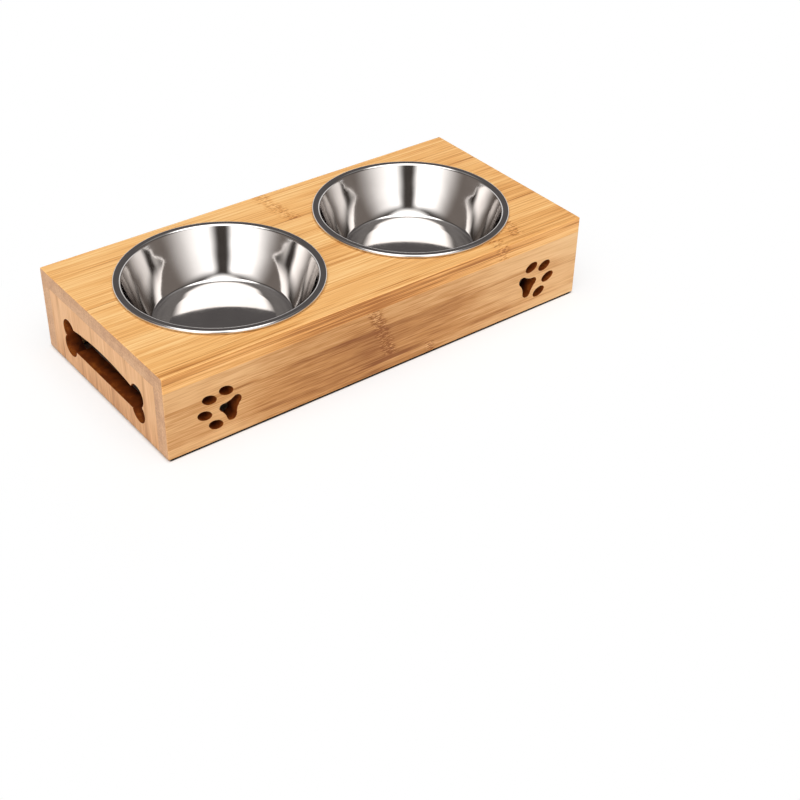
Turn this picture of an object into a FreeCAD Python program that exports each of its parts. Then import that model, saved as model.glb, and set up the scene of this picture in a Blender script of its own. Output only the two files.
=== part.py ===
import FreeCAD, Part
import math
import os

# Raised feeding stand for a small pet: a bamboo box with two steel bowls that lift out.
# Millimetres, +Z up. The origin is on the floor under the middle of the stand. +X runs along
# its length and +Y to its back, so the board with the paw prints faces -Y.

# Bowl, pressed from steel sheet
RIM_DIAMETER = 149.0            # outside of the rolled rim
FLANGE_WIDTH = 5.5              # rolled edge to the mouth
BOWL_DEPTH = 37.0               # rim down to the standing ring, inside
WALL_TAPER_DEGREES = 21.0       # lean of the wall from upright
LOWER_TAPER_DEGREES = 42.0      # its lean where it meets the base
LOWER_HEIGHT = 8.1              # base up to the level where the two leans would cross
CURVE_SHARE = 0.95              # of the lower run, taken by the curve from one lean to the other
STEEL = 0.8                     # sheet thickness
RIM_BEND = 0.8                  # bend from wall to flange, on its underside
ROLL_BORE = 0.6                 # radius inside the rolled edge
HEM = 1.0                       # flat run turned in under the rolled edge
BASE_BEND = 3.0                 # bend from wall to base, inside
RING_WIDTH = 4.5                # standing ring of the base
STEP_WIDTH = 7.0                # slope from the ring up to the middle of the base
STEP_RISE = 1.4                 # middle of the base above the ring
STEP_BEND = 3.0                 # bends at both ends of that slope

# Bamboo box
BOWL_GAP = 19.0                 # between the two rims
END_MARGIN = 21.5               # rim to the end of the box
SIDE_MARGIN = 10.0              # rim to the front and the back of the box
WOOD_HEIGHT = 65.0              # box without its feet
BOARD = 12.0                    # thickness of every board
ARRIS = 1.0                     # rounding of the outside edges
HOLE_CLEARANCE = 1.2            # around the bowl's wall where it enters the top board

# Bone-shaped hand hole in each end board
HAND_HOLE_LENGTH = 112.4
HAND_HOLE_HEIGHT = 29.4
HAND_HOLE_LEVEL_SHARE = 0.472   # its middle, as a share of the wall's height
LOBE_RADIUS_SHARE = 0.279       # the rest are shares of the hand hole's height
SHAFT_BOTTOM_SHARE = 0.238
SHAFT_SPRING_SHARE = 0.79
SHAFT_CROWN_SHARE = 0.966

# Paw print cut through the front board near each end
PAW_LENGTH = 32.0               # about from heel to toe tips
PAW_END_DISTANCE = 41.8         # from the end of the box to the paw's middle
PAW_LEVEL_SHARE = 0.478         # its middle, as a share of the wall's height
PAW_LEAN_DEGREES = 69.0         # toes lean out towards the end
# Shares of the paw's length: half a toe's length and width, the toes' places, and round the
# pad the start and middle of each arc. Each place is given across the paw, then towards its toes.
TOE_LONG_SHARE = 0.178
TOE_SHORT_SHARE = 0.109
TOE_PLACE_SHARES = [(-0.4, 0.0), (-0.184, 0.35), (0.184, 0.35), (0.4, 0.0)]
PAD_ARC_SHARES = [
    ((-0.0866, -0.0266), (0.0, 0.0375)),
    ((0.0866, -0.0266), (0.1334, -0.125)),
    ((0.2481, -0.2359), (0.2886, -0.3904)),
    ((0.1363, -0.4381), (0.0, -0.4063)),
    ((-0.1363, -0.4381), (-0.2886, -0.3904)),
    ((-0.2481, -0.2359), (-0.1334, -0.125)),
]

# Blind wooden dowels
DOWEL_DIAMETER = 6.0
DOWEL_LENGTH = 20.0
DOWEL_CLEARANCE = 0.1           # glue room around a dowel
DOWEL_END_ROOM = 0.6            # glue room past each end of a dowel
DOWEL_FACE_DEPTH_SHARE = 0.65   # of a board's thickness, where a dowel enters its face
CORNER_LEVEL_SHARES = [0.22, 0.85]
LONG_TOP_SHARES = [-0.25, 0.0, 0.25]
END_TOP_SHARES = [-0.25, 0.25]

# Anti-slip feet
FOOT_DIAMETER = 8.0
FOOT_HEIGHT = 1.0
FOOT_EDGE = 0.3                 # rounding of the underside
FOOT_INSET = 15.0               # from the end of the box to the foot's middle

OVERRUN = 2.0                   # how far a cut runs past the face it opens
SHORTEST_RUN = 0.001            # a straight run shorter than this is left out

# Sizes that follow
RIM_RADIUS = RIM_DIAMETER / 2
ROLL_RADIUS = ROLL_BORE + STEEL
RIM_HEIGHT = ROLL_RADIUS * 2
WALL_TAPER = math.radians(WALL_TAPER_DEGREES)
WALL_SLOPE = math.tan(WALL_TAPER)
LOWER_TAPER = math.radians(LOWER_TAPER_DEGREES)
MOUTH_RADIUS = RIM_RADIUS - FLANGE_WIDTH
WAIST_RADIUS = MOUTH_RADIUS - (BOWL_DEPTH - LOWER_HEIGHT) * WALL_SLOPE
BASE_RADIUS = WAIST_RADIUS - LOWER_HEIGHT * math.tan(LOWER_TAPER)
BASE_LEVEL = RIM_HEIGHT - BOWL_DEPTH
SEAT_RADIUS = MOUTH_RADIUS - RIM_HEIGHT * WALL_SLOPE + STEEL / math.cos(WALL_TAPER)
HOLE_RADIUS = SEAT_RADIUS + HOLE_CLEARANCE

LENGTH = RIM_DIAMETER * 2 + BOWL_GAP + END_MARGIN * 2
DEPTH = RIM_DIAMETER + SIDE_MARGIN * 2
BOWL_X = (RIM_DIAMETER + BOWL_GAP) / 2
WALL_HEIGHT = WOOD_HEIGHT - BOARD
END_LENGTH = DEPTH - BOARD * 2
END_X = (LENGTH - BOARD) / 2    # middle of an end board's thickness
LONG_Y = (DEPTH - BOARD) / 2    # middle of the front or rear board's thickness
FLOOR_GAP = FOOT_HEIGHT         # underside of the boards
TOP_UNDERSIDE = FLOOR_GAP + WALL_HEIGHT
TOP_FACE = FLOOR_GAP + WOOD_HEIGHT

FACE_REACH = BOARD * DOWEL_FACE_DEPTH_SHARE

ALONG_X = FreeCAD.Vector(1, 0, 0)
ALONG_Y = FreeCAD.Vector(0, 1, 0)
UP = FreeCAD.Vector(0, 0, 1)
DOWN = FreeCAD.Vector(0, 0, -1)


def board(length, depth, height, x, y, bottom):
    """A plain board, centred on x and y, standing on the level called bottom."""
    corner = FreeCAD.Vector(x - length / 2, y - depth / 2, bottom)
    return Part.makeBox(length, depth, height, corner)


def eased(solid, is_outside):
    """Rounds the edges whose middle is_outside accepts."""
    edges = [edge for edge in solid.Edges if is_outside(edge.CenterOfMass)]
    return solid.makeFillet(ARRIS, edges)


def rounded_path(corners, bends):
    """A wire through the corners, with a tangent arc of the given radius at each inner corner."""
    edges = []
    start = corners[0]
    for before, corner, after, bend in zip(corners, corners[1:], corners[2:], bends):
        inbound = (corner - before).normalize()
        outbound = (after - corner).normalize()
        turn = inbound.getAngle(outbound)
        reach = bend * math.tan(turn / 2)
        arc_start = corner - inbound * reach
        arc_end = corner + outbound * reach
        towards_centre = (outbound - inbound).normalize()
        arc_middle = corner + towards_centre * (bend / math.cos(turn / 2) - bend)
        if start.distanceToPoint(arc_start) > SHORTEST_RUN:
            edges.append(Part.LineSegment(start, arc_start).toShape())
        edges.append(Part.Arc(arc_start, arc_middle, arc_end).toShape())
        start = arc_end
    edges.append(Part.LineSegment(start, corners[-1]).toShape())
    return Part.Wire(edges)


def bowl(x):
    """One bowl: its visible side as a path from the axis to the hem, made into sheet and turned."""
    base_reach = BASE_BEND * math.tan((math.pi / 2 - LOWER_TAPER) / 2)
    curve_reach = (LOWER_HEIGHT / math.cos(LOWER_TAPER) - base_reach) * CURVE_SHARE
    wall_bend = curve_reach / math.tan((LOWER_TAPER - WALL_TAPER) / 2)
    ring_inner = BASE_RADIUS - base_reach - RING_WIDTH
    middle_radius = ring_inner - STEP_WIDTH
    middle_level = BASE_LEVEL + STEP_RISE
    corners = [
        FreeCAD.Vector(0, 0, middle_level),
        FreeCAD.Vector(middle_radius, 0, middle_level),
        FreeCAD.Vector(ring_inner, 0, BASE_LEVEL),
        FreeCAD.Vector(BASE_RADIUS, 0, BASE_LEVEL),
        FreeCAD.Vector(WAIST_RADIUS, 0, BASE_LEVEL + LOWER_HEIGHT),
        FreeCAD.Vector(MOUTH_RADIUS, 0, RIM_HEIGHT),
        FreeCAD.Vector(RIM_RADIUS, 0, RIM_HEIGHT),
        FreeCAD.Vector(RIM_RADIUS, 0, 0),
        FreeCAD.Vector(RIM_RADIUS - ROLL_RADIUS - HEM, 0, 0),
    ]
    bends = [STEP_BEND, STEP_BEND, BASE_BEND, wall_bend, RIM_BEND + STEEL, ROLL_RADIUS, ROLL_RADIUS]
    section = rounded_path(corners, bends).makeOffset2D(-STEEL, fill=True, openResult=True)
    solid = section.revolve(FreeCAD.Vector(0, 0, 0), UP, 360)
    solid.translate(FreeCAD.Vector(x, 0, TOP_FACE))
    return solid


def hand_hole(x):
    """The bone-shaped cutter for the end board whose middle is at x."""
    cut_length = BOARD + OVERRUN * 2
    start_x = x - cut_length / 2
    bottom = FLOOR_GAP + WALL_HEIGHT * HAND_HOLE_LEVEL_SHARE - HAND_HOLE_HEIGHT / 2
    lobe_radius = HAND_HOLE_HEIGHT * LOBE_RADIUS_SHARE
    lobe_y = HAND_HOLE_LENGTH / 2 - lobe_radius
    lobe_levels = [bottom + lobe_radius, bottom + HAND_HOLE_HEIGHT - lobe_radius]
    tools = []
    for y in (-lobe_y, lobe_y):
        for level in lobe_levels:
            centre = FreeCAD.Vector(start_x, y, level)
            tools.append(Part.makeCylinder(lobe_radius, cut_length, centre, ALONG_X))
    lower = bottom + HAND_HOLE_HEIGHT * SHAFT_BOTTOM_SHARE
    spring = bottom + HAND_HOLE_HEIGHT * SHAFT_SPRING_SHARE
    crown = bottom + HAND_HOLE_HEIGHT * SHAFT_CROWN_SHARE
    left_foot = FreeCAD.Vector(start_x, -lobe_y, lower)
    right_foot = FreeCAD.Vector(start_x, lobe_y, lower)
    right_spring = FreeCAD.Vector(start_x, lobe_y, spring)
    left_spring = FreeCAD.Vector(start_x, -lobe_y, spring)
    arch = Part.Arc(right_spring, FreeCAD.Vector(start_x, 0, crown), left_spring).toShape()
    sides = Part.makePolygon([left_spring, left_foot, right_foot, right_spring])
    shaft = Part.Face(Part.Wire([arch] + sides.Edges))
    tools.append(shaft.extrude(ALONG_X * cut_length))
    return tools


def paw_print(side):
    """Toe and pad cutters for the paw near one end, side being -1 or 1, toes leaning outwards."""
    start_y = -DEPTH / 2 - OVERRUN
    cut = ALONG_Y * (BOARD + OVERRUN * 2)
    level = FLOOR_GAP + WALL_HEIGHT * PAW_LEVEL_SHARE
    middle = FreeCAD.Vector(side * (LENGTH / 2 - PAW_END_DISTANCE), start_y, level)
    lean = math.radians(PAW_LEAN_DEGREES)
    toes_way = FreeCAD.Vector(side * math.sin(lean), 0, math.cos(lean))
    across = FreeCAD.Vector(-side * math.cos(lean), 0, math.sin(lean))

    def place(share):
        return middle + across * (share[0] * PAW_LENGTH) + toes_way * (share[1] * PAW_LENGTH)

    outlines = []
    for share in TOE_PLACE_SHARES:
        centre = place(share)
        long_end = centre + toes_way * (PAW_LENGTH * TOE_LONG_SHARE)
        short_end = centre + across * (PAW_LENGTH * TOE_SHORT_SHARE)
        outlines.append(Part.Wire([Part.Ellipse(long_end, short_end, centre).toShape()]))
    starts = [place(start) for start, arc_middle in PAD_ARC_SHARES]
    middles = [place(arc_middle) for start, arc_middle in PAD_ARC_SHARES]
    ends = starts[1:] + starts[:1]
    arcs = [Part.Arc(*points).toShape() for points in zip(starts, middles, ends)]
    outlines.append(Part.Wire(arcs))
    return [Part.Face(outline).extrude(cut) for outline in outlines]


def rod(start, direction, radius, length):
    return Part.makeCylinder(radius, length, start, direction)


def dowel_pair(face_point, direction):
    """A dowel and its hole. It enters a board's face against the direction and an edge along it."""
    start = face_point - direction * FACE_REACH
    dowel = rod(start, direction, DOWEL_DIAMETER / 2, DOWEL_LENGTH)
    hole_start = start - direction * DOWEL_END_ROOM
    hole_length = DOWEL_LENGTH + DOWEL_END_ROOM * 2
    hole = rod(hole_start, direction, DOWEL_DIAMETER / 2 + DOWEL_CLEARANCE, hole_length)
    return dowel, hole


def corner_dowels(x_side, y_side):
    """Dowels from the inner face of a long board into the end of an end board."""
    levels = [FLOOR_GAP + WALL_HEIGHT * share for share in CORNER_LEVEL_SHARES]
    points = [FreeCAD.Vector(x_side * END_X, y_side * END_LENGTH / 2, level) for level in levels]
    return [dowel_pair(point, ALONG_Y * -y_side) for point in points]


def long_top_dowels(y_side):
    """Dowels from the top board down into the front or rear board."""
    points = [FreeCAD.Vector(LENGTH * share, y_side * LONG_Y, TOP_UNDERSIDE) for share in LONG_TOP_SHARES]
    return [dowel_pair(point, DOWN) for point in points]


def end_top_dowels(x_side):
    """Dowels from the top board down into an end board."""
    points = [FreeCAD.Vector(x_side * END_X, END_LENGTH * share, TOP_UNDERSIDE) for share in END_TOP_SHARES]
    return [dowel_pair(point, DOWN) for point in points]


def dowels_of(pairs):
    return Part.makeCompound([dowel for dowel, hole in pairs])


def holes_of(groups):
    return [hole for pairs in groups for dowel, hole in pairs]


def top_board(dowel_groups):
    """Full length and depth, edges rounded above the joint, with the two bowl holes."""
    blank = board(LENGTH, DEPTH, BOARD, 0, 0, TOP_UNDERSIDE)
    blank = eased(blank, lambda middle: middle.z > TOP_UNDERSIDE + ARRIS)
    tools = holes_of(dowel_groups)
    for x in (-BOWL_X, BOWL_X):
        start = FreeCAD.Vector(x, 0, TOP_UNDERSIDE - OVERRUN)
        tools.append(rod(start, UP, HOLE_RADIUS, BOARD + OVERRUN * 2))
    return blank.cut(tools)


def long_board(y_side, dowel_groups, cutters):
    """The front or rear board, with its outside edges rounded except along the top joint."""
    blank = board(LENGTH, BOARD, WALL_HEIGHT, 0, y_side * LONG_Y, FLOOR_GAP)

    def is_outside(middle):
        below_joint = middle.z < TOP_UNDERSIDE - ARRIS
        off_inner_face = middle.y * y_side > END_LENGTH / 2 + ARRIS
        return below_joint and off_inner_face

    return eased(blank, is_outside).cut(holes_of(dowel_groups) + cutters)


def end_board(x_side, dowel_groups):
    """An end board between the long boards, its lower outside edge rounded, with the hand hole."""
    blank = board(BOARD, END_LENGTH, WALL_HEIGHT, x_side * END_X, 0, FLOOR_GAP)

    def is_outside(middle):
        at_bottom = middle.z < FLOOR_GAP + ARRIS
        at_outer_face = middle.x * x_side > END_X + ARRIS
        return at_bottom and at_outer_face

    return eased(blank, is_outside).cut(holes_of(dowel_groups) + hand_hole(x_side * END_X))


def foot(x_side, y_side):
    """A thin round pad under a corner, rounded where it meets the floor."""
    x = x_side * (LENGTH / 2 - FOOT_INSET)
    pad = rod(FreeCAD.Vector(x, y_side * LONG_Y, 0), UP, FOOT_DIAMETER / 2, FOOT_HEIGHT)
    lower_edges = [edge for edge in pad.Edges if edge.BoundBox.ZMax < FOOT_HEIGHT / 2]
    return pad.makeFillet(FOOT_EDGE, lower_edges)


SIDES = {"left": -1, "right": 1}
FACES = {"front": -1, "rear": 1}

corners = {}
for face_name, y_side in FACES.items():
    for side_name, x_side in SIDES.items():
        corners[face_name, side_name] = corner_dowels(x_side, y_side)
long_tops = {name: long_top_dowels(y_side) for name, y_side in FACES.items()}
end_tops = {name: end_top_dowels(x_side) for name, x_side in SIDES.items()}

nodes = {"top_board": top_board(list(long_tops.values()) + list(end_tops.values()))}
paws = paw_print(-1) + paw_print(1)
for name, y_side in FACES.items():
    groups = [corners[name, side] for side in SIDES] + [long_tops[name]]
    nodes[name + "_board"] = long_board(y_side, groups, paws if name == "front" else [])
    nodes[name + "_top_dowels"] = dowels_of(long_tops[name])
for name, x_side in SIDES.items():
    groups = [corners[face, name] for face in FACES] + [end_tops[name]]
    nodes[name + "_end_board"] = end_board(x_side, groups)
    nodes[name + "_top_dowels"] = dowels_of(end_tops[name])
    nodes[name + "_bowl"] = bowl(x_side * BOWL_X)
for (face_name, side_name), pairs in corners.items():
    corner = face_name + "_" + side_name
    nodes[corner + "_corner_dowels"] = dowels_of(pairs)
    nodes[corner + "_foot"] = foot(SIDES[side_name], FACES[face_name])

os.makedirs("parts", exist_ok=True)
for name, shape in nodes.items():
    shape.exportStep("parts/" + name + ".step")
    state = "valid" if shape.isValid() else "INVALID"
    print(name, len(shape.Solids), "solids", round(shape.Volume), "mm3", state)
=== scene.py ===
import math
from typing import NamedTuple

import bmesh
import bpy
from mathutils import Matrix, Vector, noise


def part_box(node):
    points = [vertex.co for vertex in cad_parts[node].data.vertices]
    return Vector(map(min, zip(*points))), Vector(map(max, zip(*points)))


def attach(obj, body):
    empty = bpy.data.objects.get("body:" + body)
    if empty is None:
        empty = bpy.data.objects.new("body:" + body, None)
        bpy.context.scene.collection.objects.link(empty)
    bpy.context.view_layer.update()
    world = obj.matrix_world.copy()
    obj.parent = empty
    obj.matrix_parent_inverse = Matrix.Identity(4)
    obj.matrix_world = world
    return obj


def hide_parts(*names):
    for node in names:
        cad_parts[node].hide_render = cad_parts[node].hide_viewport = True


# A bamboo feeding stand with two steel bowls in a plain white studio. Metres, +Z up, with the
# origin on the floor under the middle of the stand. The board with the paw prints faces -Y.

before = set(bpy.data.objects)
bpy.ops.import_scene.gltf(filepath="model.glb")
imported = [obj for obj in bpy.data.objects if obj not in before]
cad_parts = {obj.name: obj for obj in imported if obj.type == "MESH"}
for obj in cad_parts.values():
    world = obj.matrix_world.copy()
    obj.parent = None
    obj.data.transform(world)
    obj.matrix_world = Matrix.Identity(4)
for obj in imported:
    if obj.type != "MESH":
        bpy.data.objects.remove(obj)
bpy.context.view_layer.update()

MM = 0.001

# Stand, read from the frame
top_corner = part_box("top_board")[1]
TOP_FACE = top_corner.z
HALF_LENGTH = top_corner.x
HALF_DEPTH = top_corner.y

# Boards: facets of the frame are merged, then sharp edges are eased
WELD = 0.001 * MM
FLAT_ANGLE = math.radians(0.5)
SHARP_ANGLE = math.radians(40)
CUT_EASE = 0.4 * MM             # worn edge round each cut-out
JOINT_EASE_SHARE = 0.4          # edge at a glued joint, as a share of that
EASE_STEPS = 3
CUT_MARGIN = 2.5 * MM           # the walls of cut-outs and dowel holes lie further inside the board
THROUGH_SHARE = 0.9             # share of the board's thickness that a cut-out's wall spans at least

# Bowl, pressed from sheet
bowl_low, bowl_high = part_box("left_bowl")
RIM_RADIUS = (bowl_high.x - bowl_low.x) / 2
RIM_HEIGHT = bowl_high.z - TOP_FACE
FLANGE_WIDTH = 5.5 * MM
BOWL_DEPTH = 37 * MM
WALL_TAPER = math.radians(20.5)   # lean of the wall from upright, at the rim
LOWER_TAPER = math.radians(39.5)  # its lean where it meets the base
TAPER_POWER = 2.2               # how late the lean grows on the way down
WALL_STEPS = 24
STEEL = 0.8 * MM
RIM_BEND = 2.2 * MM
HEM = 1 * MM
BASE_BEND = 3 * MM
RING_WIDTH = 4.5 * MM
STEP_WIDTH = 7 * MM
STEP_RISE = 1.4 * MM
STEP_BEND = 3 * MM
BASE_CROWN = 0.5 * MM           # the middle of the base swells this much
FLANGE_CROWN = 0.15 * MM        # and so does the middle of the rim
BOWL_SEGMENTS = 256
ARC_STEP = math.radians(9)
RUN_STEP = 1.5 * MM
DENT_DEPTH = 0.05 * MM          # unevenness left by pressing and polishing
DENT_SIZE = 11 * MM
DENT_INNER = 48 * MM            # radius inside which the base stays even
DENT_FADE = 6 * MM              # over which the dents fade in, from there and from the top board
DRAW_RIDGE = 0.05 * MM          # faint inward ridge that the draw leaves round the wall
DRAW_LEVEL = -11 * MM           # where it runs, from the top board
DRAW_WIDTH = 5 * MM

# Bamboo. Places and widths are in millimetres, pitches count waves to the millimetre, and tones go
# from 0, the palest, to 1
FACING = (0.6, 0.9)             # how squarely a face looks along an axis, from hardly to fully
PLY_STEP = 17.0                 # between the random draws of the two plies
GLUE_EDGE = (0.1, 0.35)         # from the middle of a glue line to where it has faded
FIBRE_SHIFT = 900.0             # the most that one strip's fibres are moved along
FINE_PITCH = 1.2                # fine fibres, across the grain
STREAK_LENGTH = 4.0             # of the broader streaks, in lengths of a fine fibre
STREAK_PITCH = 0.5
CLOUD_PITCHES = (0.014, 0.1)    # along and across the grain
BASE_TONE = 0.34
STRIP_TONE = 0.2
CLOUD_TONE = 0.4
SKIN_WIDTH = 5.0                # the darker skin side along one edge of each strip
SKIN_CLOUDS = (0.35, 0.65)      # how thick the clouds are where it starts to show and shows fully
SKIN_TONE = 0.24
GLUE_TONE = 0.12
STRETCH_STREAKS = (0.2, 0.7)     # thin and thick streaks in the darker stretches
STRETCH_SHARES = (0.86, 1.1)     # how much of the stretch's tone they take on
EDGE_TONE_AND_SHADE = 0.1                 # the long edges of a board are darker, partly with painted shade where they turn from the overhead light
EDGE_PLY_TONE = 0.14            # and its upper ply there still more
NODE_CORE_SHARE = 0.3           # the part of a node's half width that it fills evenly
NODE_FADE = 2.0                 # over which a node ends across the strips
NODE_WANDER = 9.0               # swing of a node along the grain
WANDER_PITCH = 0.25
DASH_PITCHES = (0.28, 0.95)     # dashes in a node, along and across the grain
DASH_SPAN = (0.36, 0.64)
DASH_TONES = (-0.16, 0.42)
END_DOT_PITCH = 0.7             # cut fibres on the ends of a board
END_BLOT_PITCH = 0.12
END_TONE = 0.42
END_DOT_TONE = 0.9
END_BLOT_TONE = 0.5
END_STRIP_TONE = 0.1
END_PLY_TONE = 0.1
FINE_RELIEF_SHARE = 0.6         # fine fibres' part in the relief, streaks have the rest
BAMBOO_RELIEF = 0.05 * MM
BAMBOO_ROUGHNESS = (0.36, 0.5)
BAMBOO_IOR = 1.45
BAMBOO_SPECULAR = 0.35

# Scorched walls of the cut-outs
DEPTH_SHADE_REACH = (-12, -2)          # millimetres outwards from the stand's outline, over which painted shade deepens into the cut
DEPTH_SHADE_TONES = (-0.35, 0.05)      # painted shade, deep in the cut and near its mouth
BURNT_TONE = -0.1
BLOTCH_TONE = 0.8
BURNT_FIBRE_TONE = 0.35
BURNT_RELIEF = 0.1 * MM
BURNT_ROUGHNESS = (0.55, 0.8)
BURNT_SPECULAR = 0.1

# Steel, rubber and dowels
NOISE_SPAN = (0.2, 0.8)         # nearly all of a noise lies in this span
WIPED_SPAN = (0.3, 0.7)
STEEL_ROUGHNESS = (0.04, 0.07)
STEEL_GRAIN_ROUGHNESS = 0.03
STEEL_RELIEF = 0.004 * MM
RUBBER_ROUGHNESS = (0.65, 0.85)
RUBBER_RELIEF = 0.05 * MM
DOWEL_ROUGHNESS = (0.6, 0.75)
DOWEL_RELIEF = 0.08 * MM

# Camera, fitted to the photograph
CAMERA_PLACE = (-513.4 * MM, -746.7 * MM, 585.0 * MM)
CAMERA_TURN = tuple(math.radians(angle) for angle in (53.867, -1.110, -37.579))
CAMERA_LENS = 64.2              # millimetres, on a sensor 36 mm wide
CAMERA_NEAR = 10 * MM
CAMERA_AZIMUTH = -34.5          # where the camera stands, in degrees round the object

# Floor. Distances from the stand's outline are in millimetres, measured outwards
FLOOR_RADIUS = 40.0
FLOOR_SEGMENTS = 64
FLOOR_DROP = 0.05 * MM          # under the feet, so that their faces do not coincide
FLOOR_ROUGHNESS = 0.9
FLOOR_SHADE = 0.9
FLOOR_BOX_SHADE = 0.3              # painted shade inside the stand, where the floor gets little light
FLOOR_GAP_SHADE = 0.03        # painted shade, darkest in the gap under the front and rear boards
SIDE_EDGE = (-0.6, 0.4)         # where the floor brightens in front and behind
END_EDGE = (-3, 0)              # softer past the end boards
UNDER_BOARD_EDGE = (-14, -12)   # across the inner faces of the front and rear boards
GLOW_EDGE = (0, 2)              # where the floor starts to read as white
SHADOW_EDGE = (0, 100)          # from the stand to where the floor is plain white
SHADOW_SHARE = 0.6              # how white it reads close to the stand

# Room. Angles are in degrees, to the side of the camera or up
HORIZON_EDGE = (1.2, 2.5)       # where the white paper under the stand ends
ROOM_LIGHT = 0.07
FILL_LIGHT = 0.16               # walls to both sides, up to the level of the tall lights
FILL_EDGE = (20, 45)
REAR_LIGHT = 0.06               # wall behind the backdrop
REAR_EDGE = (95, 120)
DIM_TINT = (1.0, 0.87, 0.79)    # warm where no light stands
REAR_TINT = (0.93, 0.95, 1.05)  # cooler behind
BACKDROP_LIGHT = 0.9            # white paper that rises a little behind the stand
BACKDROP_TOP_EDGE = (12, 20)
LEFT_LIGHT = 2.8
RIGHT_LIGHT = 1.85
LEFT_TO_RIGHT = (-1, 1)
LIGHT_INNER_EDGE = (4, 18)      # where the tall lights start
LIGHT_OUTER_EDGE = (14, 75)     # where they fade out
LIGHT_TOP_EDGE = (31, 42)
CEILING_LIGHT = 0.2
CEILING_EDGE = (44, 56)
OVERHEAD_LIGHT = 2.6
OVERHEAD_LEAN = 16              # from upright, towards the camera
OVERHEAD_EDGE = (37, 28)        # from the middle of the light


def srgb(red, green, blue):
    """A colour as seen on screen, from 0 to 255, as the shader's linear colour."""
    linear = []
    for value in (red, green, blue):
        share = value / 255
        linear.append(share / 12.92 if share <= 0.04045 else ((share + 0.055) / 1.055) ** 2.4)
    return (*linear, 1.0)


# Colours from the palest tone to the darkest
GOLDEN = [
    (0.0, srgb(247, 205, 142)),
    (0.4, srgb(235, 178, 108)),
    (0.7, srgb(211, 147, 78)),
    (1.0, srgb(164, 102, 47)),
]
# Front and rear boards: partly their own tone, partly painted shade for the lesser light on these faces
TAWNY_AND_SHADE = [
    (0.0, srgb(234, 194, 141)),
    (0.4, srgb(219, 171, 117)),
    (0.7, srgb(187, 131, 73)),
    (1.0, srgb(136, 79, 33)),
]
BLUSH = [
    (0.0, srgb(238, 192, 141)),
    (0.4, srgb(221, 168, 115)),
    (0.7, srgb(192, 135, 82)),
    (1.0, srgb(146, 91, 47)),
]
END_GRAIN = [
    (0.0, srgb(226, 182, 138)),
    (0.5, srgb(196, 148, 106)),
    (1.0, srgb(150, 104, 72)),
]

# Colours from the darkest to the palest
BURNT = [
    (0.0, srgb(40, 13, 3)),
    (0.5, srgb(112, 51, 13)),
    (1.0, srgb(186, 106, 38)),
]
BRIGHT_STEEL = [
    (0.3, srgb(206, 202, 199)),
    (0.7, srgb(214, 210, 207)),
]
DARK_RUBBER = [
    (0.3, srgb(38, 37, 36)),
    (0.7, srgb(56, 55, 53)),
]
PALE_WOOD = [
    (0.25, srgb(176, 138, 92)),
    (0.6, srgb(222, 190, 142)),
]


class BoardNode(NamedTuple):
    """A node of the bamboo, which crosses the strips of a board. Places are in millimetres."""
    along: float                # place of its middle, along the grain
    across: float               # and across the strips
    reach: float                # how far it goes to both sides, across the strips
    slope: float                # how far it leans along the grain, for each millimetre across
    half_width: float


class Board(NamedTuple):
    """How a board is glued up from strips in two plies. Places are in millimetres."""
    grain: str                  # axis of the fibres
    across: str                 # axis across the strips
    ply: str                    # axis through the board
    strip_width: float
    strip_joint: float          # place of one joint between strips
    ply_joint: float            # place of the joint between the plies
    colours: list
    seed: float
    fibre_length: float
    fibre_tone: float           # how strongly the fine fibres show
    streak_tone: float          # and the broader streaks
    nodes: tuple = ()
    darker_stretches: tuple = ()          # darker stretches along the grain, partly painted shade, as (place, tone)
    edge_stretches_and_shade: tuple = ()     # the same on the long edges, partly painted shade


# Darker stretches along the front board, deepest in the middle: partly the bamboo's own tone, partly
# painted shade
FRONT_GROWTH_AND_SHADE = (
    (-180, 0.1),
    (-130, 0.15),
    (-100, 0.26),
    (-50, 0.4),
    (-12, 0.46),
    (4, 0.36),
    (60, 0.26),
    (110, 0.12),
    (150, 0.02),
    (180, 0.0),
)
TOP = Board(
    grain="x", across="y", ply="z",
    strip_width=24.2, strip_joint=-9.9, ply_joint=60.5,
    colours=GOLDEN, seed=3.0, fibre_length=55.0, fibre_tone=1.4, streak_tone=1.3,
    nodes=(
        BoardNode(along=2.5, across=61, reach=24, slope=-0.1, half_width=9),
        BoardNode(along=127, across=-66, reach=12, slope=0.2, half_width=9),
        BoardNode(along=104, across=-79, reach=7, slope=0.0, half_width=8),
    ),
    darker_stretches=((-180, 0.0), (40, 0.04), (180, 0.14)),
    edge_stretches_and_shade=FRONT_GROWTH_AND_SHADE,
)
FRONT = Board(
    grain="x", across="z", ply="y",
    strip_width=27.0, strip_joint=36.0, ply_joint=-78.5,
    colours=TAWNY_AND_SHADE, seed=38.0, fibre_length=25.0, fibre_tone=0.75, streak_tone=0.25,
    nodes=(
        BoardNode(along=-5.6, across=34, reach=22, slope=-0.38, half_width=8),
        BoardNode(along=37, across=6, reach=5, slope=0.0, half_width=6),
    ),
    darker_stretches=FRONT_GROWTH_AND_SHADE,
)
REAR = Board(
    grain="x", across="z", ply="y",
    strip_width=27.0, strip_joint=30.5, ply_joint=78.5,
    colours=TAWNY_AND_SHADE, seed=23.0, fibre_length=25.0, fibre_tone=0.75, streak_tone=0.25,
    nodes=(
        BoardNode(along=62, across=28, reach=27, slope=0.2, half_width=8),
        BoardNode(along=-118, across=42, reach=12, slope=0.1, half_width=6),
    ),
)
END = Board(
    grain="z", across="y", ply="x",
    strip_width=24.0, strip_joint=-12.0, ply_joint=174.0,
    colours=BLUSH, seed=31.0, fibre_length=25.0, fibre_tone=0.8, streak_tone=0.5,
    # Darker towards the bottom
    darker_stretches=((0, 0.3), (14, 0.2), (32, 0.08), (54, 0.0)),
)


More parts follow.
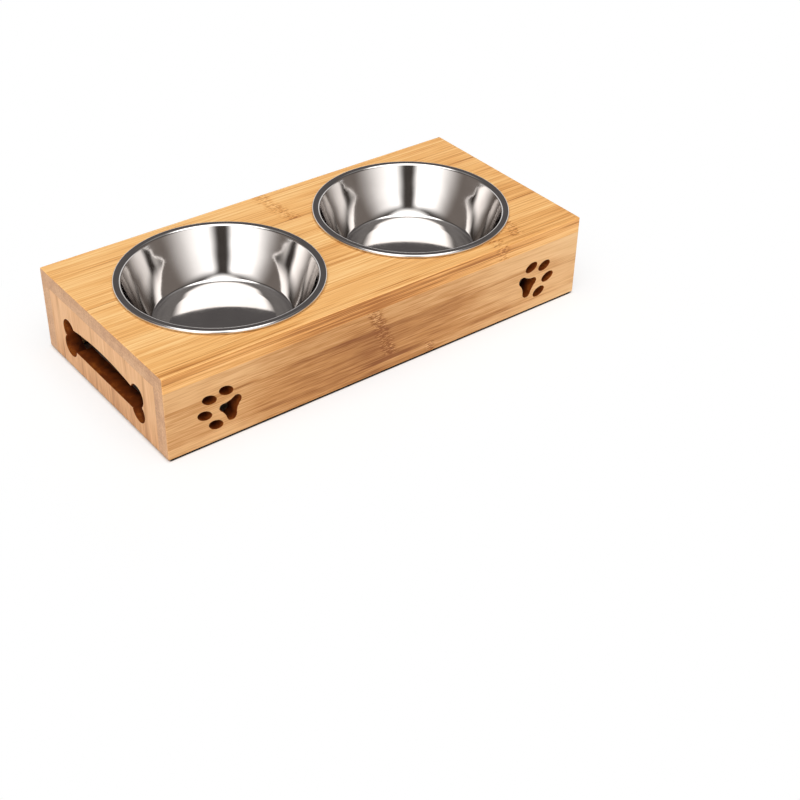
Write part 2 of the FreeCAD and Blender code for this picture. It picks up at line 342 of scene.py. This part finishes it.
class NodeTree:
    """The node tree of a material or a world, with short ways to make the nodes that they share."""

    def __init__(self, owner):
        owner.use_nodes = True
        self.tree = owner.node_tree

    def feed(self, socket, value):
        """Links a socket, or sets a plain value."""
        if isinstance(value, bpy.types.NodeSocket):
            self.tree.links.new(value, socket)
        else:
            socket.default_value = value

    def node(self, kind, inputs, **settings):
        made = self.tree.nodes.new(kind)
        for setting, value in settings.items():
            setattr(made, setting, value)
        for socket, value in inputs.items():
            self.feed(made.inputs[socket], value)
        return made

    def math(self, operation, *values):
        return self.node("ShaderNodeMath", dict(enumerate(values)), operation=operation).outputs[0]

    def add(self, *values):
        total = values[0]
        for value in values[1:]:
            total = self.math("ADD", total, value)
        return total

    def times(self, *values):
        product = values[0]
        for value in values[1:]:
            product = self.math("MULTIPLY", product, value)
        return product

    def rest(self, share):
        """What a share leaves of 1."""
        return self.math("SUBTRACT", 1.0, share)

    def swing(self, value, amount):
        """A value from 0 to 1 as a swing to both sides of 0."""
        return self.times(self.math("SUBTRACT", value, 0.5), amount)

    def noise(self, vector, scale=1.0, detail=2.0, roughness=0.5):
        """Noise from 0 to 1, about 0.5 on average."""
        inputs = {"Vector": vector, "Scale": scale, "Detail": detail, "Roughness": roughness}
        return self.node("ShaderNodeTexNoise", inputs).outputs["Fac"]

    def random(self, value):
        """One random number from 0 to 1 for each whole value."""
        return self.node("ShaderNodeTexWhiteNoise", {"W": value}, noise_dimensions="1D").outputs["Value"]

    def smooth(self, value, start, end, low=0.0, high=1.0):
        """Low before start, high past end, and a smooth rise between them."""
        inputs = {"Value": value, "From Min": start, "From Max": end, "To Min": low, "To Max": high}
        return self.node("ShaderNodeMapRange", inputs, interpolation_type="SMOOTHSTEP").outputs[0]

    def vector(self, x, y, z):
        return self.node("ShaderNodeCombineXYZ", {"X": x, "Y": y, "Z": z}).outputs[0]

    def axes(self, vector):
        parts = self.node("ShaderNodeSeparateXYZ", {"Vector": vector}).outputs
        return {"x": parts[0], "y": parts[1], "z": parts[2]}

    def place(self):
        """The surface's own x, y and z in millimetres."""
        coordinates = self.node("ShaderNodeTexCoord", {}).outputs["Object"]
        in_mm = self.node("ShaderNodeVectorMath", {0: coordinates, 1: (1 / MM,) * 3}, operation="MULTIPLY")
        return in_mm.outputs[0]

    def past_outline(self, place):
        """How far a place lies past the ends and past the long sides of the stand, in millimetres."""
        spot = self.axes(place)
        past_end = self.math("SUBTRACT", self.math("ABSOLUTE", spot["x"]), HALF_LENGTH / MM)
        past_side = self.math("SUBTRACT", self.math("ABSOLUTE", spot["y"]), HALF_DEPTH / MM)
        return past_end, past_side

    def seen(self):
        """1 where the camera looks, straight or by way of metal or glass."""
        path = self.node("ShaderNodeLightPath", {}).outputs
        straight_or_mirrored = self.math("MAXIMUM", path["Is Camera Ray"], path["Is Glossy Ray"])
        return self.math("MAXIMUM", straight_or_mirrored, path["Is Transmission Ray"])

    def ramp(self, value, stops):
        """Colours at places from 0 to 1."""
        made = self.node("ShaderNodeValToRGB", {"Fac": value})
        elements = made.color_ramp.elements
        while len(elements) < len(stops):
            elements.new(1.0)
        for element, (position, colour) in zip(elements, stops):
            element.position = position
            element.color = colour
        return made.outputs["Color"]

    def mix(self, factor, first, second):
        """The first colour where the factor is 0, the second where it is 1."""
        made = self.node("ShaderNodeMix", {0: factor, 6: first, 7: second}, data_type="RGBA")
        return made.outputs[2]


class Shader(NodeTree):
    """The node tree of a new material, with its surface."""

    def __init__(self, name):
        self.material = bpy.data.materials.new(name)
        super().__init__(self.material)
        self.surface = self.tree.nodes["Principled BSDF"]

    def set(self, **values):
        """Sets or links inputs of the surface, with an underscore for each space in a name."""
        for name, value in values.items():
            self.feed(self.surface.inputs[name.replace("_", " ")], value)

    def relief(self, height, depth):
        """Bump whose height, from 0 to 1, stands for the given depth in metres."""
        inputs = {"Height": height, "Distance": depth, "Strength": 1.0}
        self.set(Normal=self.node("ShaderNodeBump", inputs).outputs[0])


class BambooShader(Shader):
    """Lacquered bamboo: pale strips with dark fibres along the grain, and dotted ends."""

    def __init__(self, name, board):
        super().__init__(name)
        self.board = board
        self.spot = self.place()
        axes = self.axes(self.spot)
        self.along = axes[board.grain]
        self.across = axes[board.across]
        self.through = axes[board.ply]
        self.on_edge = self.facing(board.across)
        self.glue_up()
        self.draw_fibres()
        face_colour = self.ramp(self.with_nodes(self.face_tone()), board.colours)
        end_colour = self.ramp(self.end_tone(), END_GRAIN)
        relief = self.add(self.times(self.fine, FINE_RELIEF_SHARE),
                          self.times(self.streaks, 1 - FINE_RELIEF_SHARE))
        self.set(Base_Color=self.mix(self.facing(board.grain), face_colour, end_colour),
                 Roughness=self.smooth(self.fine, *NOISE_SPAN, *BAMBOO_ROUGHNESS),
                 IOR=BAMBOO_IOR,
                 Specular_IOR_Level=BAMBOO_SPECULAR)
        self.relief(self.times(relief, self.rest(self.glue_line)), BAMBOO_RELIEF)

    def facing(self, axis):
        """1 on faces that look along an axis, either way."""
        normal = self.axes(self.node("ShaderNodeNewGeometry", {}).outputs["True Normal"])
        return self.smooth(self.math("ABSOLUTE", normal[axis]), *FACING)

    def glue_up(self):
        """Strips in two plies, each with its own random number, and thin glue lines between them."""
        board = self.board
        self.strip_place = self.math("SUBTRACT", self.across, board.strip_joint)
        ply_place = self.math("SUBTRACT", self.through, board.ply_joint)
        strip_number = self.math("FLOOR", self.math("DIVIDE", self.strip_place, board.strip_width))
        self.upper_ply = self.math("GREATER_THAN", ply_place, 0.0)
        self.own = self.random(self.add(strip_number, self.times(self.upper_ply, PLY_STEP), board.seed))
        off_strip_joint = self.math("PINGPONG", self.strip_place, board.strip_width / 2)
        off_joint = self.math("MINIMUM", off_strip_joint, self.math("ABSOLUTE", ply_place))
        self.glue_line = self.smooth(off_joint, *GLUE_EDGE, 1.0, 0.0)

    def drawn_out(self, along, along_pitch, cross_pitch, detail, roughness):
        """Noise that is drawn out along the grain."""
        vector = self.vector(self.times(along, along_pitch), self.times(self.across, cross_pitch),
                             self.times(self.through, cross_pitch))
        return self.noise(vector, detail=detail, roughness=roughness)

    def draw_fibres(self):
        """Fine fibres, broader streaks and soft clouds, all broken at each strip."""
        fine_pitch = 1 / self.board.fibre_length
        streak_pitch = 1 / (self.board.fibre_length * STREAK_LENGTH)
        shifted = self.add(self.along, self.times(self.own, FIBRE_SHIFT))
        self.fine = self.drawn_out(shifted, fine_pitch, FINE_PITCH, detail=2.0, roughness=0.65)
        self.streaks = self.drawn_out(shifted, streak_pitch, STREAK_PITCH, detail=3.0, roughness=0.6)
        self.clouds = self.drawn_out(shifted, *CLOUD_PITCHES, detail=2.0, roughness=0.5)

    def stretch_tone(self, darker_stretches):
        """The tone of the darker stretches, partly painted shade, at a place along the grain."""
        first, last = darker_stretches[0][0], darker_stretches[-1][0]
        stops = [((place - first) / (last - first), (tone, tone, tone, 1.0)) for place, tone in darker_stretches]
        share = self.math("DIVIDE", self.math("SUBTRACT", self.along, first), last - first)
        return self.ramp(share, stops)

    def face_tone(self):
        """The tone of the faces and long edges, before the nodes."""
        board = self.board
        from_joint = self.math("FLOORED_MODULO", self.strip_place, board.strip_width)
        skin = self.times(self.smooth(from_joint, 0.0, SKIN_WIDTH, 1.0, 0.0),
                          self.smooth(self.clouds, *SKIN_CLOUDS))
        tone = self.add(BASE_TONE,
                        self.swing(self.own, STRIP_TONE),
                        self.swing(self.fine, board.fibre_tone),
                        self.swing(self.streaks, board.streak_tone),
                        self.swing(self.clouds, CLOUD_TONE),
                        self.times(skin, SKIN_TONE),
                        self.times(self.glue_line, GLUE_TONE))
        # Darker stretches along the grain, kept off the long edges; partly painted shade on the front
        # board
        if board.darker_stretches:
            share = self.smooth(self.streaks, *STRETCH_STREAKS, *STRETCH_SHARES)
            darker_stretches = self.times(self.stretch_tone(board.darker_stretches), share)
            tone = self.add(tone, self.times(darker_stretches, self.rest(self.on_edge)))
        # Long edges darkened: partly painted shade for the lesser light that they get
        if board.edge_stretches_and_shade:
            darker_stretches = self.stretch_tone(board.edge_stretches_and_shade)
            edge_tone_and_shade = self.add(darker_stretches, self.times(self.upper_ply, EDGE_PLY_TONE), EDGE_TONE_AND_SHADE)
            tone = self.add(tone, self.times(edge_tone_and_shade, self.on_edge))
        return tone

    def with_nodes(self, tone):
        """The tone with the nodes on it: short light and dark dashes along the grain."""
        dashes = self.drawn_out(self.along, *DASH_PITCHES, detail=3.0, roughness=0.6)
        mottle = self.smooth(dashes, *DASH_SPAN, *DASH_TONES)
        jitter = self.noise(self.vector(self.board.seed, self.times(self.across, WANDER_PITCH),
                                        self.times(self.through, WANDER_PITCH)))
        wander = self.swing(jitter, NODE_WANDER)
        for board_node in self.board.nodes:
            tone = self.add(tone, self.times(self.node_band(board_node, wander), mottle))
        return tone

    def node_band(self, board_node, wander):
        """1 on the narrow, wandering band of a node, 0 elsewhere."""
        reach, half_width = board_node.reach, board_node.half_width
        off_across = self.math("SUBTRACT", self.across, board_node.across)
        middle = self.add(board_node.along, self.times(off_across, board_node.slope), wander)
        off_along = self.math("ABSOLUTE", self.math("SUBTRACT", self.along, middle))
        near = self.smooth(off_along, half_width * NODE_CORE_SHARE, half_width, 1.0, 0.0)
        within = self.smooth(self.math("ABSOLUTE", off_across), reach - NODE_FADE, reach, 1.0, 0.0)
        return self.times(near, within)

    def end_tone(self):
        """The tone of the cut ends, dotted by the fibres."""
        dots = self.noise(self.spot, scale=END_DOT_PITCH)
        blots = self.noise(self.spot, scale=END_BLOT_PITCH)
        return self.add(END_TONE,
                        self.swing(dots, END_DOT_TONE),
                        self.swing(blots, END_BLOT_TONE),
                        self.swing(self.own, END_STRIP_TONE),
                        self.times(self.upper_ply, END_PLY_TONE))


def burnt_bamboo():
    """The scorched walls that cutting leaves, with painted shade that deepens through the board."""
    shader = Shader("burnt_bamboo")
    place = shader.place()
    blotches = shader.noise(place, scale=0.16, detail=3.0)
    fibres = shader.noise(place, scale=1.4, detail=2.0)
    outwards = shader.math("MAXIMUM", *shader.past_outline(place))
    # Painted shade: the walls darken deeper into the cut
    depth_shade = shader.smooth(outwards, *DEPTH_SHADE_REACH, *DEPTH_SHADE_TONES)
    tone = shader.add(shader.times(blotches, BLOTCH_TONE), shader.times(fibres, BURNT_FIBRE_TONE),
                      BURNT_TONE, depth_shade)
    shader.set(Base_Color=shader.ramp(tone, BURNT),
               Roughness=shader.smooth(fibres, *NOISE_SPAN, *BURNT_ROUGHNESS),
               Specular_IOR_Level=BURNT_SPECULAR)
    shader.relief(fibres, BURNT_RELIEF)
    return shader.material


def polished_steel():
    """Bright pressed stainless steel with a faint polish grain and wiped patches."""
    shader = Shader("polished_steel")
    place = shader.place()
    wiped = shader.noise(place, scale=0.05, detail=3.0)
    grain = shader.noise(place, scale=1.1, detail=3.0, roughness=0.7)
    rough = shader.add(shader.smooth(wiped, *WIPED_SPAN, *STEEL_ROUGHNESS),
                       shader.times(grain, STEEL_GRAIN_ROUGHNESS))
    shader.set(Base_Color=shader.ramp(wiped, BRIGHT_STEEL), Roughness=rough, Metallic=1.0)
    shader.relief(grain, STEEL_RELIEF)
    return shader.material


def foot_rubber():
    """Dark matt rubber with a fine moulded grain."""
    shader = Shader("foot_rubber")
    grain = shader.noise(shader.place(), scale=3.0, detail=3.0)
    shader.set(Base_Color=shader.ramp(grain, DARK_RUBBER),
               Roughness=shader.smooth(grain, *NOISE_SPAN, *RUBBER_ROUGHNESS))
    shader.relief(grain, RUBBER_RELIEF)
    return shader.material


def dowel_wood():
    """Bare pale hardwood, turned, with short pores."""
    shader = Shader("dowel_wood")
    pores = shader.noise(shader.place(), scale=0.9, detail=4.0, roughness=0.65)
    shader.set(Base_Color=shader.ramp(pores, PALE_WOOD),
               Roughness=shader.smooth(pores, *NOISE_SPAN, *DOWEL_ROUGHNESS))
    shader.relief(pores, DOWEL_RELIEF)
    return shader.material


def white_floor():
    """Pale floor that reads as white to the camera and in reflections, and keeps a soft shadow, with
    painted shade inside and under the stand.
    """
    shader = Shader("white_floor")
    past_end, past_side = shader.past_outline(shader.place())
    distance = shader.math("MAXIMUM", past_end, past_side)
    # Painted shade: the floor's colour darkens inside the stand, and most under the front and rear boards
    painted_floor_shade = shader.smooth(past_side, *UNDER_BOARD_EDGE, FLOOR_BOX_SHADE, FLOOR_GAP_SHADE)
    outside = shader.math("MAXIMUM",
                          shader.smooth(past_side, *SIDE_EDGE),
                          shader.smooth(past_end, *END_EDGE))
    shade = shader.add(shader.times(outside, FLOOR_SHADE), shader.times(shader.rest(outside), painted_floor_shade))
    shader.set(Base_Color=shader.vector(shade, shade, shade),
               Roughness=FLOOR_ROUGHNESS,
               Specular_IOR_Level=0.0)
    white_share = shader.times(shader.smooth(distance, *GLOW_EDGE),
                               shader.smooth(distance, *SHADOW_EDGE, SHADOW_SHARE, 1.0))
    glow = shader.node("ShaderNodeEmission", {"Color": (1.0, 1.0, 1.0, 1.0), "Strength": 1.0})
    white_seen = shader.times(shader.seen(), white_share)
    layers = {0: white_seen, 1: shader.surface.outputs[0], 2: glow.outputs[0]}
    mixed = shader.node("ShaderNodeMixShader", layers)
    shader.feed(shader.tree.nodes["Material Output"].inputs["Surface"], mixed.outputs[0])
    return shader.material


def placed(name, mesh, body, node):
    """Puts a finished mesh on a body in place of a node of the frame."""
    obj = bpy.data.objects.new(name, mesh)
    bpy.context.scene.collection.objects.link(obj)
    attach(obj, body)
    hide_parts(node)
    return obj


def dressed_board(node, thickness_axis, face_finish, cut_finish):
    """A board with the frame's shape, its facets merged, its edges eased and its cut-outs scorched."""
    low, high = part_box(node)
    thickness = high[thickness_axis] - low[thickness_axis]
    shape = bmesh.new()
    shape.from_mesh(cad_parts[node].data)
    bmesh.ops.remove_doubles(shape, verts=shape.verts, dist=WELD)
    bmesh.ops.dissolve_limit(shape, angle_limit=FLAT_ANGLE, verts=shape.verts, edges=shape.edges)
    cut_walls = set()
    dowel_walls = set()
    for face in shape.faces:
        face.smooth = True
        centre = face.calc_center_median()
        if all(low[axis] + CUT_MARGIN < centre[axis] < high[axis] - CUT_MARGIN for axis in range(3)):
            depths = [vert.co[thickness_axis] for vert in face.verts]
            if max(depths) - min(depths) > THROUGH_SHARE * thickness:
                cut_walls.add(face)
                face.material_index = 1
            else:
                dowel_walls.add(face)
    weights = shape.edges.layers.float.new("bevel_weight_edge")
    for edge in shape.edges:
        if edge.calc_face_angle() > SHARP_ANGLE:
            if cut_walls.intersection(edge.link_faces):
                edge[weights] = 1.0
            elif dowel_walls.intersection(edge.link_faces):
                edge.smooth = False
            else:
                edge[weights] = JOINT_EASE_SHARE
    mesh = bpy.data.meshes.new(node + "_bamboo")
    shape.to_mesh(mesh)
    shape.free()
    mesh.materials.append(face_finish)
    mesh.materials.append(cut_finish)
    obj = placed(node + "_bamboo", mesh, "stand", node)
    ease = obj.modifiers.new("ease", "BEVEL")
    ease.limit_method = "WEIGHT"
    ease.width = CUT_EASE
    ease.segments = EASE_STEPS
    ease.use_clamp_overlap = False
    ease.loop_slide = False
    normals = obj.modifiers.new("normals", "WEIGHTED_NORMAL")
    normals.keep_sharp = True
    return obj


def rounded_path(corners, bends):
    """Points along straight runs between the corners, with a tangent arc at each inner corner."""
    points = [corners[0]]

    def run_to(end):
        start = points[-1]
        steps = max(1, round((end - start).length / RUN_STEP))
        points.extend(start.lerp(end, step / steps) for step in range(1, steps + 1))

    for before, corner, after, bend in zip(corners, corners[1:], corners[2:], bends):
        if not bend:
            run_to(corner)
            continue
        inbound = (corner - before).normalized()
        outbound = (after - corner).normalized()
        turn = inbound.angle(outbound)
        reach = bend * math.tan(turn / 2)
        if (points[-1] - (corner - inbound * reach)).length > WELD:
            run_to(corner - inbound * reach)
        centre = corner + (outbound - inbound).normalized() * (bend / math.cos(turn / 2))
        first_arm = points[-1] - centre
        last_arm = corner + outbound * reach - centre
        steps = max(2, round(turn / ARC_STEP), round(bend * turn / RUN_STEP))
        for step in range(1, steps + 1):
            share = step / steps
            arm = first_arm * math.sin((1 - share) * turn) + last_arm * math.sin(share * turn)
            points.append(centre + arm / math.sin(turn))
    run_to(corners[-1])
    return points


def wall_line():
    """The inside of the bowl's wall in section, from its mouth down, with a lean that grows on the way."""
    shares = [(step + 0.5) / WALL_STEPS for step in range(WALL_STEPS)]
    leans = [WALL_TAPER + (LOWER_TAPER - WALL_TAPER) * share ** TAPER_POWER for share in shares]
    step_length = BOWL_DEPTH / sum(math.cos(lean) for lean in leans)
    wall = [Vector((RIM_RADIUS - FLANGE_WIDTH, 0, RIM_HEIGHT))]
    for lean in leans:
        wall.append(wall[-1] - Vector((math.sin(lean), 0, math.cos(lean))) * step_length)
    return wall


def bowl_section():
    """The bowl's sheet in section, as (radius, 0, height above the top board): out on the visible side
    from the middle of the base to the hem, and back on the underside."""
    wall = wall_line()
    base_radius = wall[-1].x
    base_level = wall[-1].z
    base_reach = BASE_BEND * math.tan((math.pi / 2 - LOWER_TAPER) / 2)
    ring_inner = base_radius - base_reach - RING_WIDTH
    middle_level = base_level + STEP_RISE
    roll = RIM_HEIGHT / 2
    corners = [
        Vector((0, 0, middle_level)),
        Vector((ring_inner - STEP_WIDTH, 0, middle_level)),
        Vector((ring_inner, 0, base_level)),
        *wall[::-1],
        Vector((RIM_RADIUS, 0, RIM_HEIGHT)),
        Vector((RIM_RADIUS, 0, 0)),
        Vector((RIM_RADIUS - roll - HEM, 0, 0)),
    ]
    bends = [STEP_BEND, STEP_BEND, BASE_BEND] + [0.0] * (WALL_STEPS - 1) + [RIM_BEND, roll, roll]
    visible = rounded_path(corners, bends)
    underside = []
    for index, point in enumerate(visible):
        before = visible[max(0, index - 1)]
        after = visible[min(len(visible) - 1, index + 1)]
        way = (after - before).normalized()
        underside.append(point + Vector((way.z, 0, -way.x)) * STEEL)
    for side in (visible, underside):
        for point in side:
            point.z += BASE_CROWN * max(0.0, 1 - (point.x / ring_inner) ** 2) ** 2
            if point.z > roll:
                off_middle = (RIM_RADIUS - point.x) / FLANGE_WIDTH * 2 - 1
                point.z += FLANGE_CROWN * max(0.0, 1 - off_middle ** 2)
    return visible + underside[::-1]


def clamped(value):
    """A value kept between 0 and 1."""
    return max(0.0, min(1.0, value))


def dented(point, radius, height):
    """Moves a point of the wall in or out by the sheet's unevenness, none at the rim or on the base."""
    fade = clamped(-height / DENT_FADE) * clamped((radius - DENT_INNER) / DENT_FADE)
    ridge = DRAW_RIDGE * math.exp(-((height - DRAW_LEVEL) / DRAW_WIDTH) ** 2)
    amount = noise.noise(point / DENT_SIZE) * DENT_DEPTH * fade - ridge * fade
    outward = Vector((point.x, point.y, 0)).normalized()
    return point + outward * amount


def pressed_bowl(node, finish):
    """A bowl turned from its section, with the faint unevenness of pressed sheet."""
    low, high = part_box(node)
    centre_x = (low.x + high.x) / 2
    shape = bmesh.new()
    rings = []
    for point in bowl_section():
        if point.x < WELD:
            rings.append([shape.verts.new((centre_x, 0, TOP_FACE + point.z))])
            continue
        ring = []
        for segment in range(BOWL_SEGMENTS):
            angle = 2 * math.pi * segment / BOWL_SEGMENTS
            flat = Vector((point.x * math.cos(angle), point.x * math.sin(angle), point.z))
            spot = dented(flat, point.x, point.z)
            ring.append(shape.verts.new((centre_x + spot.x, spot.y, TOP_FACE + spot.z)))
        rings.append(ring)
    for inner, outer in zip(rings, rings[1:]):
        for segment in range(BOWL_SEGMENTS):
            following = (segment + 1) % BOWL_SEGMENTS
            if len(inner) == 1:
                corners = (inner[0], outer[segment], outer[following])
            elif len(outer) == 1:
                corners = (inner[segment], outer[0], inner[following])
            else:
                corners = (inner[segment], outer[segment], outer[following], inner[following])
            shape.faces.new(corners).smooth = True
    bmesh.ops.recalc_face_normals(shape, faces=shape.faces)
    mesh = bpy.data.meshes.new(node + "_steel")
    shape.to_mesh(mesh)
    shape.free()
    mesh.materials.append(finish)
    return placed(node + "_steel", mesh, node, node)


def dress_part():
    """Boards and bowls in place of the frame's, and finishes for the nodes that stay."""
    burnt = burnt_bamboo()
    top_bamboo = BambooShader("top_bamboo", TOP).material
    front_bamboo = BambooShader("front_bamboo", FRONT).material
    rear_bamboo = BambooShader("rear_bamboo", REAR).material
    end_bamboo = BambooShader("end_bamboo", END).material
    dressed_board("top_board", 2, top_bamboo, burnt)
    dressed_board("front_board", 1, front_bamboo, burnt)
    dressed_board("rear_board", 1, rear_bamboo, burnt)
    dressed_board("left_end_board", 0, end_bamboo, burnt)
    dressed_board("right_end_board", 0, end_bamboo, burnt)

    steel = polished_steel()
    for bowl_node in ("left_bowl", "right_bowl"):
        pressed_bowl(bowl_node, steel)

    for finish, ending in ((foot_rubber(), "_foot"), (dowel_wood(), "_dowels")):
        for name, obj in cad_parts.items():
            if name.endswith(ending):
                obj.data.materials.clear()
                obj.data.materials.append(finish)


def lay_floor():
    """A wide round floor just under the feet."""
    shape = bmesh.new()
    bmesh.ops.create_circle(shape, cap_ends=True, radius=FLOOR_RADIUS, segments=FLOOR_SEGMENTS)
    mesh = bpy.data.meshes.new("floor")
    shape.to_mesh(mesh)
    shape.free()
    mesh.materials.append(white_floor())
    floor = bpy.data.objects.new("floor", mesh)
    bpy.context.scene.collection.objects.link(floor)
    floor.location.z = -FLOOR_DROP


def light_room():
    """A dim room with a tall soft light to each side of the camera and a wide one overhead."""
    world = bpy.data.worlds.new("room")
    bpy.context.scene.world = world
    shader = NodeTree(world)
    way = shader.axes(shader.node("ShaderNodeTexCoord", {}).outputs["Generated"])
    turn = math.radians(CAMERA_AZIMUTH)
    forward = shader.add(shader.times(way["x"], math.sin(turn)), shader.times(way["y"], -math.cos(turn)))
    aside = shader.add(shader.times(way["x"], math.cos(turn)), shader.times(way["y"], math.sin(turn)))
    azimuth = shader.math("DEGREES", shader.math("ARCTAN2", aside, forward))
    elevation = shader.math("DEGREES", shader.math("ARCSINE", way["z"]))
    off_camera = shader.math("ABSOLUTE", azimuth)

    # Lights
    sides = shader.times(shader.smooth(azimuth, *LEFT_TO_RIGHT, LEFT_LIGHT, RIGHT_LIGHT),
                         shader.smooth(off_camera, *LIGHT_INNER_EDGE),
                         shader.smooth(off_camera, *LIGHT_OUTER_EDGE, 1.0, 0.0),
                         shader.smooth(elevation, *LIGHT_TOP_EDGE, 1.0, 0.0))
    lean = math.radians(OVERHEAD_LEAN)
    to_overhead = shader.add(shader.times(forward, math.sin(lean)), shader.times(way["z"], math.cos(lean)))
    overhead_edge = [math.cos(math.radians(angle)) for angle in OVERHEAD_EDGE]
    overhead = shader.smooth(to_overhead, *overhead_edge, 0.0, OVERHEAD_LIGHT)
    backdrop = shader.times(shader.smooth(off_camera, *REAR_EDGE),
                            shader.smooth(elevation, *BACKDROP_TOP_EDGE, BACKDROP_LIGHT, 0.0))
    ceiling = shader.smooth(elevation, *CEILING_EDGE, 0.0, CEILING_LIGHT)
    lights = shader.add(sides, overhead, backdrop, ceiling)

    # Dim walls, and white paper up to the horizon
    fill = shader.times(shader.smooth(off_camera, *FILL_EDGE),
                        shader.smooth(off_camera, *REAR_EDGE, 1.0, 0.0),
                        shader.smooth(elevation, *LIGHT_TOP_EDGE, FILL_LIGHT, 0.0))
    dim = shader.add(ROOM_LIGHT, fill)
    rear = shader.smooth(off_camera, *REAR_EDGE, 0.0, REAR_LIGHT)
    paper = shader.times(shader.seen(), shader.smooth(elevation, *HORIZON_EDGE, 1.0, 0.0))
    bare = shader.rest(paper)
    channels = []
    for warm, cool in zip(DIM_TINT, REAR_TINT):
        light = shader.add(lights, shader.times(dim, warm), shader.times(rear, cool))
        channels.append(shader.add(paper, shader.times(bare, light)))
    shader.feed(shader.tree.nodes["Background"].inputs["Color"], shader.vector(*channels))


def set_camera():
    """The camera of the photograph."""
    camera = bpy.data.cameras.new("camera")
    camera.lens = CAMERA_LENS
    camera.clip_start = CAMERA_NEAR
    camera.clip_end = FLOOR_RADIUS * 2
    eye = bpy.data.objects.new("camera", camera)
    bpy.context.scene.collection.objects.link(eye)
    eye.location = CAMERA_PLACE
    eye.rotation_euler = CAMERA_TURN
    bpy.context.scene.camera = eye
    bpy.context.scene.view_settings.view_transform = "Standard"


dress_part()
lay_floor()
light_room()
set_camera()
